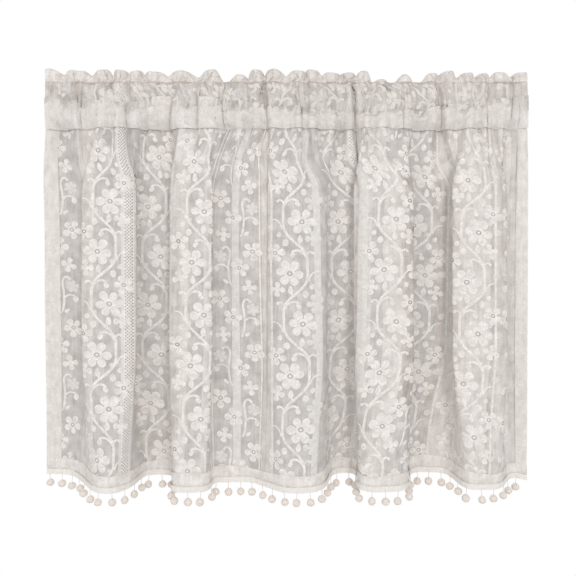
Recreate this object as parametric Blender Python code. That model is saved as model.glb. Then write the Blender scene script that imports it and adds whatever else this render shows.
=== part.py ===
"""A gathered lace cafe curtain: ruffled rod-pocket heading, hanging lace panel, ball fringe.

Metres, +Z up, +X along the rod, -Y towards the room. The origin is the centre of the top edge.
Tables are in millimetres. "front" is the distance towards the room from the plane of the rod.
"""

import bmesh
import bpy
import numpy as np

MM = 0.001

# ---- Overall sizes, mm ----
ROD_WIDTH = 709.0  # gathered width along the rod
HEM_Z = -608.0  # level of the hem, before each fold's own rise
STITCH_Z = -18.4  # gathering stitches between ruffle and rod pocket
SEAM_Z = -87.0  # seam that closes the rod pocket
PIECE_GAP = 0.3  # air left between pieces that are sewn together

# ---- Cloth ----
SHEET = 1.2  # single lace with its relief
DOUBLED = 2.0  # two layers pressed together, as in a hem or the ruffle
SIDE_HEM = 21.5
BOTTOM_HEM = 24.0

# ---- Folds, in order from left to right ----
# across and front: place of each fold's crest or hollow at the hem, along the rod and towards the room.
# reach: how far the cloth runs on to each side before it turns. rise: how far the hem is drawn up.
# pleat: extra reach, half-way down, of the side that runs on to the next row. It makes that side
# double back behind the crest, as a soft pleat that opens out towards the hem.
FOLDS = (
    # across, front, reach_left, reach_right, rise, pleat
    (-361.0, -22.0, 0.0, 6.0, 5.5, 0.0),  # left side hem
    (-340.0, -25.0, 8.0, 42.0, 4.0, 64.0),
    (-254.0, 34.0, 38.0, 38.0, -3.5, 50.0),  # first front fold
    (-205.0, -25.0, 22.0, 6.0, 3.0, 0.0),
    (-192.0, -26.0, 8.0, 64.0, 3.0, 22.0),
    (-139.5, 32.0, 60.0, 46.0, -3.0, 32.0),  # narrow fold that overhangs on both sides
    (-95.0, -2.0, 30.0, 8.0, 0.0, 0.0),
    (-66.0, -3.0, 8.0, 40.0, 0.0, 42.0),
    (14.0, 33.0, 44.0, 68.0, -3.5, 12.0),  # wide middle fold
    (88.0, -28.0, 46.0, 46.0, 5.0, 27.0),
    (137.0, 30.0, 68.0, 72.0, -3.0, 46.0),  # fold that overhangs on both sides
    (206.0, -31.0, 50.0, 6.0, 5.0, 0.0),
    (226.0, -30.0, 6.0, 32.0, 5.0, 62.0),
    (274.0, 22.0, 28.0, 6.0, -2.5, 0.0),
    (290.0, 21.0, 6.0, 34.0, -2.5, 50.0),  # last front fold
    (340.0, -11.0, 24.0, 6.0, 3.0, 0.0),
    (357.5, -9.0, 6.0, 0.0, 0.5, 0.0),  # right side hem
)
FOLD_STEPS = 60  # points along each side of a fold
FOLD_SHARE_AT_TOP = 0.30  # fold depth at the pocket seam, as a part of that at the hem
FOLD_SHARE_HALF_WAY = 0.60

# Narrow creases between the folds, running down the cloth.
# along: place on the flat width. push: towards the room, or away if negative. half: half its width.
# start and end: how far down the panel it begins and dies out, as parts of the drop.
CREASES = (
    # along, push, half, start, end
    (62.0, -2.5, 12.0, 0.0, 0.9),
    (96.0, 3.0, 10.0, 0.0, 0.7),
    (152.0, -3.0, 11.0, 0.0, 1.3),
    (183.0, 3.5, 12.0, 0.0, 1.1),
    (252.0, -2.5, 13.0, 0.0, 0.8),
    (330.0, 3.0, 12.0, 0.0, 0.7),
    (392.0, -4.5, 12.0, 0.0, 0.9),
    (424.0, 4.0, 13.0, 0.0, 0.8),
    (474.0, -4.0, 12.0, 0.0, 1.2),
    (520.0, -2.5, 13.0, 0.0, 0.9),
    (566.0, 3.0, 12.0, 0.0, 0.7),
    (652.0, 3.0, 12.0, 0.0, 0.8),
    (716.0, -3.0, 12.0, 0.0, 1.1),
    (764.0, 3.0, 11.0, 0.0, 0.9),
    (838.0, -2.5, 12.0, 0.0, 0.8),
    (893.0, 3.0, 12.0, 0.0, 1.2),
    (951.0, -3.5, 12.0, 0.0, 0.9),
)

# ---- Gathers of the heading, a row for each ruffle from left to right ----
# across: its crest. tip: level of the ruffle's edge there. dip: level of the edge in the hollow to
# the right of it. lean: how far the edge has fallen back.
GATHERS = (
    # across, tip, dip, lean
    (-349.0, 0.0, -5.0, 0.0),
    (-310.0, -0.7, -5.6, 1.0),
    (-268.0, -0.7, -8.0, 0.0),
    (-245.0, -0.7, -3.4, 1.0),
    (-222.0, -1.6, -5.2, 0.0),
    (-198.0, -2.2, -6.4, 2.0),
    (-155.0, -2.2, -9.6, 0.0),
    (-108.0, -0.2, -15.4, 1.0),
    (-69.0, -6.4, -9.4, 4.0),
    (-45.0, -0.3, -6.4, 0.0),
    (-20.0, 0.0, -7.4, 0.0),
    (19.0, -0.7, -3.6, 0.0),
    (37.0, 0.0, -6.4, 0.0),
    (68.0, -3.6, -5.0, 2.0),
    (91.0, -4.6, -6.4, 1.0),
    (116.0, -1.6, -15.6, 2.0),
    (138.0, -12.6, -15.8, 9.0),  # ruffle folded back for a stretch
    (175.0, -5.2, -15.6, 7.0),
    (213.0, -4.6, -6.2, 2.0),
    (237.0, -2.2, -9.8, 0.0),
    (267.0, -4.4, -8.8, 1.0),
    (290.0, -5.4, -9.2, 1.0),
    (313.0, -3.2, -8.8, 0.0),
    (347.0, -3.8, -5.2, 0.0),
)
STEPS_PER_GATHER = 4
GATHER_AT_SEAM = 6.2  # half the depth of a gather where the panel leaves the pocket
GATHER_AT_STITCH = 3.6
GATHER_AT_TIP = 6.4
GATHERS_DIE_OUT = 70.0  # length over which the gathers open out below the pocket

# ---- Rod pocket: levels between seam and stitches, and how far each wall stands off the rod ----
POCKET = (
    # level, stands off (part of full), share of the fold depth that reaches this level
    (-73.0, 0.86, 0.30),
    (-53.0, 1.00, 0.14),
    (-33.0, 0.86, 0.12),
)
POCKET_TIP_LOW = -83.6
POCKET_TIP_HIGH = -21.8
WALL_STAND_OFF = 11.0  # inside of each wall from the line of the rod
WALL_GATHER = 2.6  # extra stand-off on a gather's crest

# ---- Panel grid ----
COLUMN_SPACING = 9.6  # least number of columns on each side of a fold: its length over this
PANEL_ROWS = (-87.3, -104.0, -126.0, -152.0, -190.0, -260.0, -370.0, -480.0, -583.0, -585.5, -608.0)

# ---- Ball fringe ----
TAPE = 1.2
TAPE_TOP = 8.5  # above the hem
TAPE_FOOT = 0.6
BALL_PITCH = 18.6
FIRST_BALL = 5.0
THREAD_RADIUS = 0.52
BALL_SIDES = 6
DROP_TOP = 4.0  # the thread's end inside the tape, above the hem
THREAD_END = -7.2
BALL = (
    # level below the hem, radius
    (-8.9, 3.7),
    (-12.6, 5.3),
    (-16.6, 4.2),
)
BALL_FOOT = -18.6
BALL_SWING = 1.3

LACE = (0.60, 0.58, 0.555)
HEADING_CLOTH = (0.74, 0.715, 0.685)
COTTON_YARN = (0.80, 0.745, 0.66)


def clear_scene():
    for item in list(bpy.data.objects):
        bpy.data.objects.remove(item, do_unlink=True)


def fold_curve(number, t, pleated):
    """Across, front and rise on the side that runs from fold row number to the next, t from 0 to 1."""
    table = np.array(FOLDS)
    left = table[number]
    right = table[number + 1]
    across_left, front_left, _, reach_out, rise_left, pleat = np.moveaxis(left, -1, 0)
    across_right, front_right, reach_in, _, rise_right, _ = np.moveaxis(right, -1, 0)
    first = across_left + reach_out + pleat * pleated
    second = across_right - reach_in - pleat * pleated
    across = (
        (1 - t) ** 3 * across_left
        + 3 * t * (1 - t) ** 2 * first
        + 3 * t**2 * (1 - t) * second
        + t**3 * across_right
    )
    ease = 3 * t**2 - 2 * t**3
    front = front_left + (front_right - front_left) * ease
    rise = rise_left + (rise_right - rise_left) * ease
    return across, front, rise


def hem_length():
    """Flat width from the left edge to evenly numbered places along the folds, measured at the hem."""
    places = np.arange((len(FOLDS) - 1) * FOLD_STEPS + 1) / FOLD_STEPS
    number = np.minimum(places.astype(int), len(FOLDS) - 2)
    across, front, _ = fold_curve(number, places - number, 0.0)
    pieces = np.hypot(np.diff(across), np.diff(front))
    return places, np.concatenate([[0.0], np.cumsum(pieces)])


PLACES, ALONG = hem_length()
FLAT_WIDTH = ALONG[-1]


def fold_at(along, pleated):
    """Across, front and rise at a place on the flat width."""
    place = np.interp(along, ALONG, PLACES)
    number = np.minimum(place.astype(int), len(FOLDS) - 2)
    return fold_curve(number, place - number, pleated)


def make_top_line():
    """Where each place on the flat width lies along the rod: the folds' places, evened out."""
    knots = ALONG[::FOLD_STEPS]
    places = [row[0] for row in FOLDS]
    dense = np.linspace(0.0, FLAT_WIDTH, 500)
    rough = np.interp(dense, knots, places)
    reach = 16
    before = 2 * rough[0] - rough[reach:0:-1]
    after = 2 * rough[-1] - rough[-2 : -reach - 2 : -1]
    even = np.ones(2 * reach + 1) / (2 * reach + 1)
    smooth = np.convolve(np.concatenate([before, rough, after]), even, mode="valid")
    share = (smooth - smooth[0]) / (smooth[-1] - smooth[0])
    return dense, (share - 0.5) * ROD_WIDTH


TOP_ALONG, TOP_ACROSS = make_top_line()


def ease_between(value, low, high):
    """0 below low, 1 above high, and smooth between."""
    share = np.clip((value - low) / (high - low), 0.0, 1.0)
    return share * share * (3 - 2 * share)


def gather_phase(across):
    """Number of gathers from the left, whole at each crest."""
    crests = [row[0] for row in GATHERS]
    spacing = ROD_WIDTH / len(GATHERS)
    places = [crests[0] - spacing, *crests, crests[-1] + spacing]
    return np.interp(across, places, np.arange(-1, len(GATHERS) + 1))


def gather_wave(across):
    """1 on a crest, -1 in a hollow."""
    return np.cos(2 * np.pi * gather_phase(across))


def fold_front_at_seam(across):
    along = np.interp(across, TOP_ACROSS, TOP_ALONG)
    return FOLD_SHARE_AT_TOP * fold_at(along, 0.0)[1] + GATHER_AT_SEAM * gather_wave(across)


def crease_push(along, down):
    """Narrow creases, as a push towards the room. down is 0 at the pocket seam and 1 at the hem."""
    push = np.zeros_like(along)
    for place, depth, half, start, end in CREASES:
        shape = np.exp(-(((along - place) / half) ** 2))
        fade = np.clip((down - start) / 0.08, 0.0, 1.0) * np.clip((end - down) / 0.35, 0.0, 1.0)
        push = push + depth * shape * fade
    return push


def fold_share(down):
    """Fold depth as a part of that at the hem: quick to open below the pocket, and again near the hem."""
    upper = (FOLD_SHARE_HALF_WAY - FOLD_SHARE_AT_TOP) * ease_between(down, -0.1, 0.45)
    lower = (1.0 - FOLD_SHARE_HALF_WAY) * ease_between(down, 0.4, 1.0)
    return FOLD_SHARE_AT_TOP + upper + lower


def panel_points(along, level):
    """Middle of the cloth, in mm as x, y, z, for arrays of flat width and level."""
    drop = PANEL_ROWS[0] - HEM_Z
    down = np.clip((PANEL_ROWS[0] - level) / drop, 0.0, 1.0)
    pleated = ease_between(down, -0.02, 0.18) * (1.0 - ease_between(down, 0.6, 1.0))
    fold_across, fold_front, rise = fold_at(along, pleated)
    top_across = np.interp(along, TOP_ALONG, TOP_ACROSS)
    across = top_across + (fold_across - top_across) * ease_between(down, -0.06, 0.16)
    left_of_gathers = np.exp(-((down * drop / GATHERS_DIE_OUT) ** 1.3))
    gathers = GATHER_AT_SEAM * gather_wave(top_across) * left_of_gathers
    front = fold_share(down) * fold_front + gathers + crease_push(along, down)
    return np.stack([across, -front, level + rise * down**3], axis=-1)


def panel_normals(along, level, flat):
    """Unit directions towards the room. flat rows keep theirs level, so that an edge stays straight."""
    step = 0.5
    right = panel_points(np.minimum(along + step, FLAT_WIDTH), level)
    left = panel_points(np.maximum(along - step, 0.0), level)
    side = right - left
    drop = panel_points(along, level - step) - panel_points(along, level + step)
    normal = np.cross(drop, side)
    normal[..., 2] = np.where(flat, 0.0, normal[..., 2])
    return normal / np.linalg.norm(normal, axis=-1, keepdims=True)


def add_body(name, points, faces, material):
    mesh = bpy.data.meshes.new(name)
    corners = [tuple(point) for point in np.asarray(points) * MM]
    mesh.from_pydata(corners, [], [list(face) for face in faces])
    shell = bmesh.new()
    shell.from_mesh(mesh)
    bmesh.ops.recalc_face_normals(shell, faces=shell.faces)
    shell.to_mesh(mesh)
    shell.free()
    mesh.polygons.foreach_set("use_smooth", [True] * len(mesh.polygons))
    mesh.materials.append(material)
    body = bpy.data.objects.new(name, mesh)
    bpy.context.scene.collection.objects.link(body)
    return body


def add_material(name, colour, roughness):
    material = bpy.data.materials.new(name)
    material.use_nodes = True
    surface = material.node_tree.nodes["Principled BSDF"]
    surface.inputs["Base Color"].default_value = (*colour, 1.0)
    surface.inputs["Roughness"].default_value = roughness
    surface.inputs["Metallic"].default_value = 0.0
    return material


def slab_faces(rows, columns):
    """Faces of a closed slab: the front grid, the back grid and the four edges between them.

    Both grids hold rows x columns points, row 0 at the top and column 0 at the left, front grid first.
    """
    back = rows * columns
    faces = []
    for row in range(rows - 1):
        for column in range(columns - 1):
            a = row * columns + column
            b = a + 1
            c = a + columns + 1
            d = a + columns
            faces.append((a, d, c, b))
            faces.append((back + a, back + b, back + c, back + d))
    for column in range(columns - 1):
        top = column
        foot = (rows - 1) * columns + column
        faces.append((top, top + 1, back + top + 1, back + top))
        faces.append((foot + 1, foot, back + foot, back + foot + 1))
    for row in range(rows - 1):
        left = row * columns
        right = left + columns - 1
        faces.append((left + columns, left, back + left, back + left + columns))
        faces.append((right, right + columns, back + right + columns, back + right))
    return faces


def panel_columns():
    """Places of the columns on the flat width: even steps of t, which crowd into the folds' turns."""
    lengths = np.diff(ALONG[::FOLD_STEPS])
    counts = np.maximum(2, np.round(lengths / COLUMN_SPACING)).astype(int)
    places = [number + np.arange(count) / count for number, count in enumerate(counts)]
    return np.interp(np.concatenate([*places, [len(FOLDS) - 1.0]]), PLACES, ALONG)


def add_panel(material):
    columns = panel_columns()
    levels = np.array(PANEL_ROWS)
    along, level = np.meshgrid(columns, levels)
    middle = panel_points(along, level)
    flat = (level == levels[0]) | (level <= HEM_Z)
    normal = panel_normals(along, level, flat)
    hemmed = (level < HEM_Z + BOTTOM_HEM) | (along <= SIDE_HEM) | (along >= FLAT_WIDTH - SIDE_HEM)
    half = np.where(hemmed, DOUBLED, SHEET)[..., None] / 2
    front = (middle + normal * half).reshape(-1, 3)
    back = (middle - normal * half).reshape(-1, 3)
    faces = slab_faces(len(levels), len(columns))
    return add_body("panel", np.concatenate([front, back]), faces, material)


def heading_stations():
    """Places along the rod: each gather's crest, hollow and the slopes between, and both ends."""
    count = len(GATHERS) * STEPS_PER_GATHER
    phases = np.arange(-STEPS_PER_GATHER, count + STEPS_PER_GATHER) / STEPS_PER_GATHER
    dense = np.linspace(-ROD_WIDTH / 2 - 40.0, ROD_WIDTH / 2 + 40.0, 4000)
    places = np.interp(phases, gather_phase(dense), dense)
    least = 3.0
    inside = places[(places > -ROD_WIDTH / 2 + least) & (places < ROD_WIDTH / 2 - least)]
    return np.concatenate([[-ROD_WIDTH / 2], inside, [ROD_WIDTH / 2]])


def ruffle_edge(across):
    """Level and backward lean of the ruffle's edge."""
    phase = gather_phase(across)
    knots = []
    levels = []
    leans = []
    for number, (_, tip, dip, lean) in enumerate(GATHERS):
        knots += [number, number + 0.5]
        levels += [tip, dip]
        leans += [lean, lean]
    return np.interp(phase, knots, levels), np.interp(phase, knots, leans)


def slope_factor(across, line):
    """How much longer the cloth's thickness is along Y where it runs aslant."""
    return np.sqrt(1.0 + np.gradient(line, across) ** 2)


def add_heading(material):
    """One band sewn into a tube below and a flat ruffle above, open at both ends."""
    across = heading_stations()
    wave = gather_wave(across)
    seam = fold_front_at_seam(across)
    edge, lean = ruffle_edge(across)
    outer_front = []
    outer_back = []
    levels = []

    def flat_layers(front, level, thickness):
        half = thickness / 2 * slope_factor(across, front)
        outer_front.append(front + half)
        outer_back.append(front - half)
        levels.append(np.broadcast_to(level, across.shape))

    flat_layers(seam, SEAM_Z, DOUBLED)
    inner_front = []
    inner_back = []
    inner_levels = []
    for level, stand, share in POCKET:
        middle = share * seam
        inside_front = middle + stand * (WALL_STAND_OFF + WALL_GATHER * (0.5 + 0.5 * wave))
        inside_back = middle - stand * (WALL_STAND_OFF + WALL_GATHER * (0.5 - 0.5 * wave))
        inner_front.append(inside_front)
        inner_back.append(inside_back)
        inner_levels.append(level)
        outer_front.append(inside_front + SHEET * slope_factor(across, inside_front))
        outer_back.append(inside_back - SHEET * slope_factor(across, inside_back))
        levels.append(np.full_like(across, level))
    flat_layers(GATHER_AT_STITCH * wave, STITCH_Z, DOUBLED)
    half_way = (STITCH_Z + edge) / 2
    flat_layers((GATHER_AT_STITCH + GATHER_AT_TIP) / 2 * wave - lean * 0.4, half_way, DOUBLED)
    flat_layers(GATHER_AT_TIP * wave - lean, edge, DOUBLED)

    rows = len(levels)
    inner_rows = len(POCKET)
    ring = 2 * rows
    section = ring + 2 * inner_rows + 2
    low_tip = ring + 2 * inner_rows
    high_tip = low_tip + 1
    first = 1  # the outer row beside the first row of the pocket
    points = []
    for i, place in enumerate(across):
        points += [(place, -outer_front[row][i], levels[row][i]) for row in range(rows)]
        points += [(place, -outer_back[row][i], levels[row][i]) for row in range(rows)]
        points += [(place, -inner_front[row][i], inner_levels[row]) for row in range(inner_rows)]
        points += [(place, -inner_back[row][i], inner_levels[row]) for row in range(inner_rows)]
        points.append((place, -0.9 * seam[i], POCKET_TIP_LOW))
        points.append((place, -GATHER_AT_STITCH * wave[i], POCKET_TIP_HIGH))

    outside = list(range(rows)) + [rows + row for row in reversed(range(rows))]
    tunnel_front = [ring + row for row in range(inner_rows)]
    tunnel_back = [ring + inner_rows + row for row in range(inner_rows)]
    tunnel = [low_tip, *tunnel_front, high_tip, *reversed(tunnel_back)]
    faces = []
    for i in range(len(across) - 1):
        here = i * section
        there = here + section
        for a, b in zip(outside, outside[1:] + outside[:1]):
            faces.append((here + a, there + a, there + b, here + b))
        for a, b in zip(tunnel, tunnel[1:] + tunnel[:1]):
            faces.append((here + b, there + b, there + a, here + a))

    end_cells = [(0, first, tunnel_front[0], low_tip, tunnel_back[0], rows + first, rows)]
    for row in range(inner_rows - 1):
        front = first + row
        back = rows + first + row
        end_cells.append((front, front + 1, tunnel_front[row + 1], tunnel_front[row]))
        end_cells.append((back + 1, back, tunnel_back[row], tunnel_back[row + 1]))
    last = first + inner_rows - 1
    end_cells.append((last, last + 1, high_tip, tunnel_front[-1]))
    end_cells.append((rows + last + 1, rows + last, tunnel_back[-1], high_tip))
    end_cells.append((last + 1, rows + last + 1, high_tip))
    for row in range(last + 1, rows - 1):
        end_cells.append((row, row + 1, rows + row + 1, rows + row))
    far = (len(across) - 1) * section
    for cell in end_cells:
        faces.append(tuple(cell))
        faces.append(tuple(far + corner for corner in reversed(cell)))
    return add_body("heading", points, faces, material)


def tape_line():
    """Middle of the fringe tape at each of the panel's columns, in plan, and the hem's level there."""
    columns = panel_columns()
    level = np.full_like(columns, HEM_Z)
    middle = panel_points(columns, level)
    normal = panel_normals(columns, level, np.full(columns.shape, True))
    away = DOUBLED / 2 + PIECE_GAP + TAPE / 2
    return columns, middle - normal * away, normal


def ball_drops(columns, line):
    """Foot of each thread in the tape, and each ball's sideways swing."""
    places = np.arange(FIRST_BALL, FLAT_WIDTH - 2.0, BALL_PITCH)
    feet = np.stack([np.interp(places, columns, line[:, axis]) for axis in range(3)], axis=1)
    numbers = np.arange(len(places))
    swing = np.stack([np.sin(2.7 * numbers + 0.4), np.cos(4.3 * numbers)], axis=1) * BALL_SWING
    longer = 0.8 * np.sin(1.9 * numbers + 1.0)
    return feet, swing, longer


def add_drop(points, faces, foot, swing, longer):
    """A ball on its thread, turned as one closed shape."""
    rings = [(DROP_TOP, THREAD_RADIUS, 0.0), (THREAD_END, THREAD_RADIUS, 0.7)]
    rings += [(level, radius, 1.0) for level, radius in BALL]
    start = len(points)
    turn = np.arange(BALL_SIDES) / BALL_SIDES * 2 * np.pi
    for level, radius, share in rings:
        drop = level + (longer if share else 0.0)
        for angle in turn:
            points.append(
                (
                    foot[0] + swing[0] * share + radius * np.cos(angle),
                    foot[1] + swing[1] * share + radius * np.sin(angle),
                    foot[2] + drop,
                )
            )
    points.append((foot[0] + swing[0], foot[1] + swing[1], foot[2] + BALL_FOOT + longer))
    pole = len(points) - 1
    faces.append(tuple(start + side for side in range(BALL_SIDES)))
    for ring in range(len(rings) - 1):
        for side in range(BALL_SIDES):
            a = start + ring * BALL_SIDES + side
            b = start + ring * BALL_SIDES + (side + 1) % BALL_SIDES
            faces.append((a, a + BALL_SIDES, b + BALL_SIDES, b))
    foot_ring = start + (len(rings) - 1) * BALL_SIDES
    for side in range(BALL_SIDES):
        faces.append((foot_ring + side, pole, foot_ring + (side + 1) % BALL_SIDES))


def add_fringe(material):
    columns, line, normal = tape_line()
    top = np.array([0.0, 0.0, TAPE_TOP])
    foot = np.array([0.0, 0.0, TAPE_FOOT])
    front = np.concatenate([line + normal * TAPE / 2 + top, line + normal * TAPE / 2 + foot])
    back = np.concatenate([line - normal * TAPE / 2 + top, line - normal * TAPE / 2 + foot])
    both_sides = np.concatenate([front, back])
    fringe = add_body("pompom_fringe", both_sides, slab_faces(2, len(columns)), material)
    points = []
    faces = []
    for drop in zip(*ball_drops(columns, line)):
        add_drop(points, faces, *drop)
    drops = add_body("fringe_drops", points, faces, material)
    drops.hide_render = True
    drops.display_type = "WIRE"
    union = fringe.modifiers.new("drops", "BOOLEAN")
    union.operation = "UNION"
    union.solver = "EXACT"
    union.object = drops
    return fringe


def main():
    clear_scene()
    lace = add_material("lace_net", LACE, 0.9)
    doubled = add_material("lace_doubled", HEADING_CLOTH, 0.9)
    yarn = add_material("cotton_yarn", COTTON_YARN, 0.95)
    add_heading(doubled)
    add_panel(lace)
    add_fringe(yarn)


main()
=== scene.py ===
import math

import bmesh
import bpy
import numpy as np
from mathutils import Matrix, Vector
from mathutils.geometry import delaunay_2d_cdt


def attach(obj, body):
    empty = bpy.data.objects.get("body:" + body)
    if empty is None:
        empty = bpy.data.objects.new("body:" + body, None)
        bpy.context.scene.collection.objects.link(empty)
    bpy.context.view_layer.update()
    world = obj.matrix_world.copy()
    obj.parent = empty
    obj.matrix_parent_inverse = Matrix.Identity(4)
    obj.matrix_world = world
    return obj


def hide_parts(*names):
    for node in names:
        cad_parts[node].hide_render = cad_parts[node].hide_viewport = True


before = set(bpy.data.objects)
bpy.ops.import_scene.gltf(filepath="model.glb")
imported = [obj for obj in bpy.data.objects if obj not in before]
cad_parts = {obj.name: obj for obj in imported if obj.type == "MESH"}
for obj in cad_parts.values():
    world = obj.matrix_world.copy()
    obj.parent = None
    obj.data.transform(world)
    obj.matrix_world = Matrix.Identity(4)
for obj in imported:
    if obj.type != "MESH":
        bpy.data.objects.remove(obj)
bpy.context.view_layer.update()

# A gathered lace cafe curtain: ruffled rod pocket, hanging lace panel, hems and a ball fringe.
# Scene units are metres, +Z up, +X along the rod, -Y towards the room. Tables are in millimetres.
mm = 0.001

# Sizes shared by every piece of the curtain, mm.
curtain = {
    "rodWidth": 709.0,
    "hemLevel": -608.0,
    "stitchLevel": -18.4,
    "seamLevel": -87.0,
    "panelTop": -87.3,
    "leftHem": 21.5,
    "rightHem": 17.0,
    "bottomHem": 24.0,
}

# Folds from left to right: place along the rod, distance into the room at the hem, how far the cloth
# runs on to each side before it turns, how far the hem is drawn up, and the pleat half-way down.
foldTable = np.array([
    # across, front, reachLeft, reachRight, rise, pleat
    (-361.0, -22.0, 0.0, 6.0, 5.5, 0.0),
    (-340.0, -25.0, 8.0, 42.0, 4.0, 64.0),
    (-254.0, 34.0, 38.0, 38.0, -3.5, 50.0),
    (-205.0, -25.0, 22.0, 6.0, 3.0, 0.0),
    (-192.0, -26.0, 8.0, 64.0, 3.0, 22.0),
    (-139.5, 32.0, 60.0, 46.0, -3.0, 32.0),
    (-95.0, -2.0, 30.0, 8.0, 0.0, 0.0),
    (-66.0, -3.0, 8.0, 40.0, 0.0, 42.0),
    (14.0, 33.0, 44.0, 68.0, -3.5, 12.0),
    (88.0, -28.0, 46.0, 46.0, 5.0, 27.0),
    (137.0, 30.0, 68.0, 72.0, -3.0, 46.0),
    (206.0, -31.0, 50.0, 6.0, 5.0, 0.0),
    (226.0, -30.0, 6.0, 32.0, 5.0, 62.0),
    (274.0, 22.0, 28.0, 6.0, -2.5, 0.0),
    (290.0, 21.0, 6.0, 34.0, -2.5, 50.0),
    (340.0, -11.0, 24.0, 6.0, 3.0, 0.0),
    (357.5, -9.0, 6.0, 0.0, 0.5, 0.0),
])

# Narrow creases down the cloth: flat place, push into the room, half width, and where along the drop
# each begins and dies out.
creaseTable = [
    # along, push, half, start, end
    (62.0, -2.5, 12.0, 0.0, 0.9),
    (96.0, 3.0, 10.0, 0.0, 0.7),
    (152.0, -3.0, 11.0, 0.0, 1.3),
    (183.0, 3.5, 12.0, 0.0, 1.1),
    (252.0, -2.5, 13.0, 0.0, 0.8),
    (330.0, 3.0, 12.0, 0.0, 0.7),
    (392.0, -4.5, 12.0, 0.0, 0.9),
    (424.0, 4.0, 13.0, 0.0, 0.8),
    (474.0, -4.0, 12.0, 0.0, 1.2),
    (520.0, -2.5, 13.0, 0.0, 0.9),
    (566.0, 3.0, 12.0, 0.0, 0.7),
    (652.0, 3.0, 12.0, 0.0, 0.8),
    (716.0, -3.0, 12.0, 0.0, 1.1),
    (764.0, 3.0, 11.0, 0.0, 0.9),
    (838.0, -2.5, 12.0, 0.0, 0.8),
    (893.0, 3.0, 12.0, 0.0, 1.2),
    (951.0, -3.5, 12.0, 0.0, 0.9),
]

# Sharp creases that run down from the gathering stitches: where each starts at the stitches, where it
# meets the pocket's seam, how deep it is, half its width, and how far down the pocket it begins and
# ends (0 at the stitches, 1 at the seam).
headingCreases = [
    # top, foot, depth, half, start, end
    (-306.0, -302.5, 3.4, 1.8, -0.2, 0.9),
    (-298.0, -302.0, 4.4, 2.2, 0.1, 1.3),
    (-257.0, -250.0, 3.0, 1.7, -0.3, 0.4),
    (-233.0, -221.0, 2.8, 1.8, -0.2, 0.5),
    (-236.0, -235.0, 2.0, 1.8, 0.4, 1.3),
    (-189.0, -192.0, 2.0, 2.4, 0.0, 0.7),
    (-163.0, -173.0, 4.4, 2.2, 0.1, 1.4),
    (-129.0, -131.0, 4.0, 2.4, -0.3, 1.4),
    (-97.0, -92.0, 3.6, 2.0, 0.1, 1.3),
    (-82.0, -60.0, 1.6, 1.8, 0.15, 0.8),
    (-33.0, -27.0, 4.2, 2.2, -0.2, 1.4),
    (20.0, 22.0, 4.0, 2.2, -0.7, 1.2),
    (61.0, 66.0, 1.8, 2.4, 0.0, 0.9),
    (98.0, 101.0, 4.4, 2.4, -0.4, 1.4),
    (129.0, 121.0, 2.2, 2.0, 0.0, 0.6),
    (169.0, 171.0, 3.6, 2.0, 0.0, 1.2),
    (200.0, 205.0, 1.8, 2.2, 0.1, 0.8),
    (222.0, 231.0, 4.4, 2.4, 0.0, 1.4),
    (236.0, 233.0, 2.0, 2.0, 0.0, 0.8),
    (262.0, 266.0, 2.2, 2.0, -0.6, 0.6),
    (291.0, 292.0, 4.0, 2.2, 0.0, 1.4),
    (331.0, 329.0, 3.0, 2.0, -0.2, 1.0),
]

# Gathers of the heading: crest, level of the ruffle's edge there and in the hollow after it, and how
# far the edge has fallen back.
gatherTable = np.array([
    # across, tip, dip, lean
    (-349.0, 0.0, -5.0, 0.0),
    (-310.0, -0.7, -5.6, 1.0),
    (-268.0, -0.7, -8.0, 0.0),
    (-245.0, -0.7, -3.4, 1.0),
    (-222.0, -1.6, -5.2, 0.0),
    (-198.0, -2.2, -6.4, 2.0),
    (-155.0, -2.2, -9.6, 0.0),
    (-108.0, -0.2, -15.4, 1.0),
    (-69.0, -6.4, -9.4, 4.0),
    (-45.0, -0.3, -6.4, 0.0),
    (-20.0, 0.0, -7.4, 0.0),
    (19.0, -0.7, -3.6, 0.0),
    (37.0, 0.0, -6.4, 0.0),
    (68.0, -3.6, -5.0, 2.0),
    (91.0, -4.6, -6.4, 1.0),
    (116.0, -1.6, -15.6, 2.0),
    (138.0, -12.6, -15.8, 9.0),
    (175.0, -5.2, -15.6, 7.0),
    (213.0, -4.6, -6.2, 2.0),
    (237.0, -2.2, -9.8, 0.0),
    (267.0, -4.4, -8.8, 1.0),
    (290.0, -5.4, -9.2, 1.0),
    (313.0, -3.2, -8.8, 0.0),
    (347.0, -3.8, -5.2, 0.0),
])

gathers = {
    "atSeam": 6.2,  # height of the gathers at the pocket's seam, mm
    "atStitch": 3.6,  # at the gathering stitches
    "atTip": 6.4,  # at the ruffle's edge
    "dieOut": 70.0,  # length over which they fade down the panel
    "topShare": 0.30,  # part of the folds' depth that is left under the pocket
    "midShare": 0.60,  # and half-way down
}

foldSteps = 60


def bezier(t, start, first, second, end):
    return (
        (1 - t) ** 3 * start
        + 3 * t * (1 - t) ** 2 * first
        + 3 * t**2 * (1 - t) * second
        + t**3 * end
    )


def foldCurve(number, t, pleated):
    left = foldTable[number]
    right = foldTable[number + 1]
    across0, front0, _, reachOut, rise0, pleat = np.moveaxis(left, -1, 0)
    across1, front1, reachIn, _, rise1, _ = np.moveaxis(right, -1, 0)
    first = across0 + reachOut + pleat * pleated
    second = across1 - reachIn - pleat * pleated
    across = bezier(t, across0, first, second, across1)
    ease = 3 * t**2 - 2 * t**3
    return across, front0 + (front1 - front0) * ease, rise0 + (rise1 - rise0) * ease


def hemLength():
    places = np.arange((len(foldTable) - 1) * foldSteps + 1) / foldSteps
    number = np.minimum(places.astype(int), len(foldTable) - 2)
    across, front, _ = foldCurve(number, places - number, 0.0)
    steps = np.hypot(np.diff(across), np.diff(front))
    return places, np.concatenate([[0.0], np.cumsum(steps)])


hemPlaces, hemAlong = hemLength()
flatWidth = hemAlong[-1]


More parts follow.
